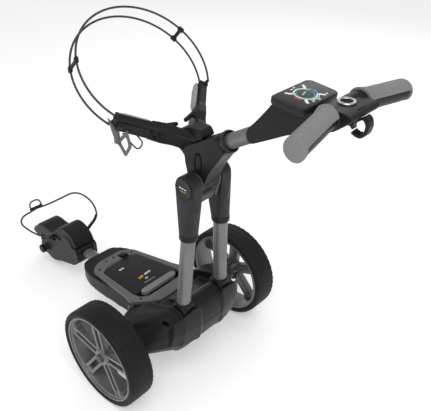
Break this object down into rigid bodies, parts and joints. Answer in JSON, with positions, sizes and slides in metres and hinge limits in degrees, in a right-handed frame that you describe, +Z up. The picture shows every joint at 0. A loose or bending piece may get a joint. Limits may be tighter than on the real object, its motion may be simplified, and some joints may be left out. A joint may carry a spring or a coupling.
{
  "type": "electric golf trolley",
  "caption": "Battery-driven golf trolley: drive wheels at the back, small wheel in front, folding strut frame, bag rests with straps and T handle with display.",
  "frame": {"origin": "on the ground, under the middle of the trolley's length, on its centre line", "axes": "+X the way it travels, +Y its left, +Z up"},
  "size_m": [1.2225, 0.559, 0.9482],
  "materials": {
    "black_plastic": "fine grained moulded plastic",
    "dark_plastic": "smooth satin moulded plastic",
    "grey_plastic": "satin moulded plastic",
    "light_grey_plastic": "satin moulded plastic",
    "grip_rubber": "soft foam rubber, light grey",
    "tyre_rubber": "matt moulded tyre",
    "wheel_grey": "grey satin paint",
    "tube_grey": "grey satin paint on aluminium tube",
    "steel": "turned steel",
    "motor_case": "cast and machined",
    "circuit_board": "lacquered board",
    "display_black": "clear cover over a black screen",
    "chrome": "polished",
    "braided_cord": "braided sleeve over a stretch or sprung core"
  },
  "bodies": {
    "chassis": {"rear_housing": "black_plastic", "housing_base": "black_plastic", "strut_pivot_rod": "steel", "gearbox": "motor_case", "drive_motor": "motor_case", "control_board": "circuit_board", "left_axle_bearing": "steel", "right_axle_bearing": "steel", "tray_surround": "grey_plastic", "battery_tray": "black_plastic", "neck_tube": "tube_grey", "front_fork": "black_plastic", "bag_cradle": "black_plastic", "front_axle": "steel", "lower_strap": "braided_cord", "lower_strap_hook": "grey_plastic"},
    "axle": {"drive_axle": "steel"},
    "left_wheel": {"left_tyre": "tyre_rubber", "left_rim": "wheel_grey"},
    "right_wheel": {"right_tyre": "tyre_rubber", "right_rim": "wheel_grey"},
    "left_release": {"left_hub_button": "dark_plastic"},
    "right_release": {"right_hub_button": "dark_plastic"},
    "battery": {"battery_case": "dark_plastic", "battery_lid": "black_plastic", "battery_handle": "light_grey_plastic"},
    "latch": {"battery_latch": "black_plastic"},
    "front_wheel": {"front_tyre": "tyre_rubber", "front_hub": "wheel_grey"},
    "tracking": {"tracking_knob": "black_plastic"},
    "strut_frame": {"left_strut_foot": "black_plastic", "right_strut_foot": "black_plastic", "left_strut": "tube_grey", "right_strut": "tube_grey", "left_sleeve": "dark_plastic", "right_sleeve": "dark_plastic", "left_boss_cap": "dark_plastic", "right_boss_cap": "dark_plastic", "hinge_yoke": "light_grey_plastic", "main_hinge_pin": "steel"},
    "upper_frame": {"hinge_block": "black_plastic", "shaft_tube": "tube_grey", "left_pad": "light_grey_plastic", "right_pad": "light_grey_plastic", "bag_support": "black_plastic", "strap_front_cord": "braided_cord", "strap_rear_cord": "braided_cord", "strap_spacer_left": "black_plastic", "strap_spacer_right": "black_plastic", "strap_hook": "grey_plastic", "handle_stem": "black_plastic", "handle_bar": "black_plastic", "left_grip": "grip_rubber", "right_grip": "grip_rubber", "display_case": "dark_plastic", "display_glass": "display_black", "accessory_hook": "black_plastic"},
    "fold_release": {"release_button": "dark_plastic"},
    "dial": {"speed_dial": "chrome"},
    "power": {"power_button": "dark_plastic"}
  },
  "joints": [
    {"name": "axle_spin", "type": "hinge", "parent": "chassis", "child": "axle", "pos_m": [-0.0782, 0, 0.14], "axis": [0, 1, 0], "continuous": true},
    {"name": "left_wheel_spin", "type": "hinge", "parent": "chassis", "child": "left_wheel", "pos_m": [-0.0782, 0.2423, 0.14], "axis": [0, 1, 0], "continuous": true},
    {"name": "right_wheel_spin", "type": "hinge", "parent": "chassis", "child": "right_wheel", "pos_m": [-0.0782, -0.2423, 0.14], "axis": [0, 1, 0], "continuous": true},
    {"name": "left_hub_press", "type": "slide", "parent": "left_wheel", "child": "left_release", "axis": [0, -1, 0], "range_m": [0, 0.004], "stiffness_N_per_m": 400},
    {"name": "right_hub_press", "type": "slide", "parent": "right_wheel", "child": "right_release", "axis": [0, 1, 0], "range_m": [0, 0.004], "stiffness_N_per_m": 400},
    {"name": "battery_lift", "type": "slide", "parent": "chassis", "child": "battery", "axis": [0, 0, 1], "range_m": [0, 0.055]},
    {"name": "battery_latch_open", "type": "hinge", "parent": "chassis", "child": "latch", "pos_m": [0.1868, 0, 0.144], "axis": [0, 1, 0], "range_deg": [0, 15]},
    {"name": "front_wheel_spin", "type": "hinge", "parent": "chassis", "child": "front_wheel", "pos_m": [0.5298, 0, 0.069], "axis": [0, 1, 0], "continuous": true},
    {"name": "tracking_adjust", "type": "hinge", "parent": "chassis", "child": "tracking", "pos_m": [0.5298, 0.051, 0.069], "axis": [0, 1, 0], "range_deg": [-90, 90]},
    {"name": "strut_fold", "type": "hinge", "parent": "chassis", "child": "strut_frame", "pos_m": [-0.1882, 0, 0.24], "axis": [0, 1, 0], "range_deg": [0, 75]},
    {"name": "upper_fold", "type": "hinge", "parent": "strut_frame", "child": "upper_frame", "pos_m": [-0.1992, 0, 0.609], "axis": [0, 1, 0], "range_deg": [-116.25, 0]},
    {"name": "fold_release_press", "type": "slide", "parent": "upper_frame", "child": "fold_release", "axis": [0, -1, 0], "range_m": [0, 0.004], "stiffness_N_per_m": 400},
    {"name": "speed_turn", "type": "hinge", "parent": "upper_frame", "child": "dial", "pos_m": [-0.5452, 0, 0.897], "axis": [0, 0, 1], "continuous": true},
    {"name": "power_press", "type": "slide", "parent": "upper_frame", "child": "power", "axis": [0, 0, -1], "range_m": [0, 0.0015], "stiffness_N_per_m": 400}
  ],
  "couplings": [
    {"joint": "upper_fold", "follows": "strut_fold", "ratio": -1.55}
  ]
}
